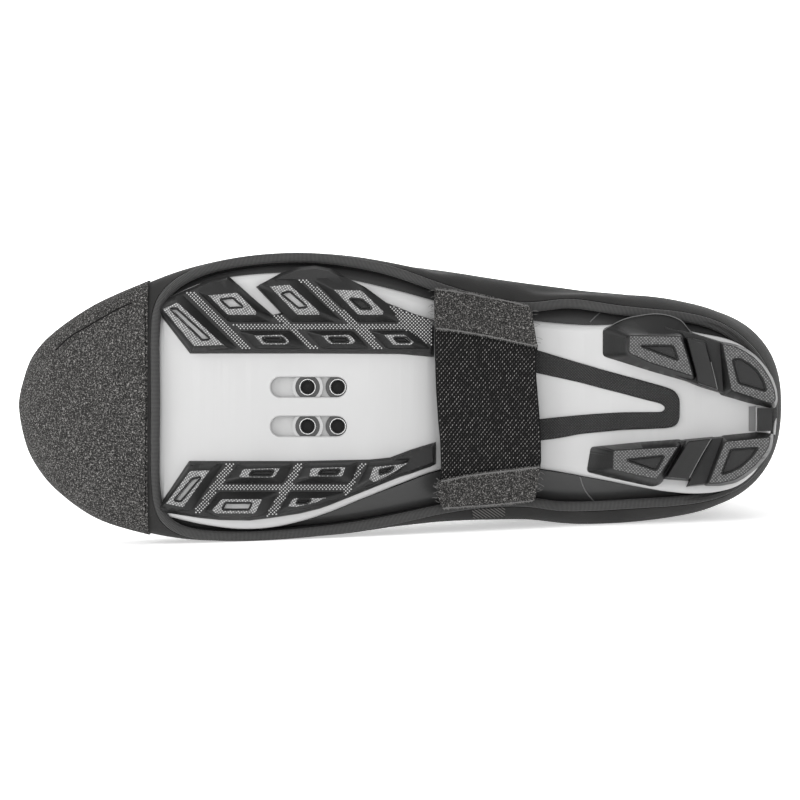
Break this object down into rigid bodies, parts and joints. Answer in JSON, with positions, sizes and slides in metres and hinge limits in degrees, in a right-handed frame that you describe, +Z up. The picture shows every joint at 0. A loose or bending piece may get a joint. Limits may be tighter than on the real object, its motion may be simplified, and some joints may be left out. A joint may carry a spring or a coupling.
{
  "type": "cycling overshoe",
  "caption": "Left-foot neoprene cycling overshoe with a taped sole opening, an arch strap and the clipless cycling shoe that it is worn on, lying on its medial side.",
  "frame": {"origin": "middle of the bounding box, on the floor that the shoe lies on", "axes": "+X from toe to heel, +Y from the sole up through the collar, +Z up, towards the shoe's lateral side"},
  "size_m": [0.2768, 0.1726, 0.1022],
  "materials": {
    "neoprene": "matte knitted facing on neoprene",
    "toe_fabric": "speckled grey and black hard-wearing weave",
    "tape": "ribbed binding tape",
    "web": "coarse elastic web",
    "shoe_upper": "smooth black semi-gloss synthetic leather",
    "sole_plate": "glossy light grey moulded sole",
    "rubber": "dark grey moulded rubber with patterned faces",
    "steel": "zinc-plated steel",
    "foam": "fabric-topped foam"
  },
  "bodies": {
    "root": {"cover": "neoprene", "toe_patch": "toe_fabric", "opening_binding": "tape", "collar_binding": "tape", "arch_strap": "web", "strap_tab_lateral": "toe_fabric", "strap_tab_medial": "toe_fabric", "shoe_upper": "shoe_upper", "insole": "foam", "sole_plate": "sole_plate", "cleat_nut_plate": "steel", "forefoot_pad_lateral": "rubber", "forefoot_pad_medial": "rubber", "heel_pad_lateral": "rubber", "heel_pad_medial": "rubber", "arch_inlay": "rubber"}
  },
  "joints": []
}
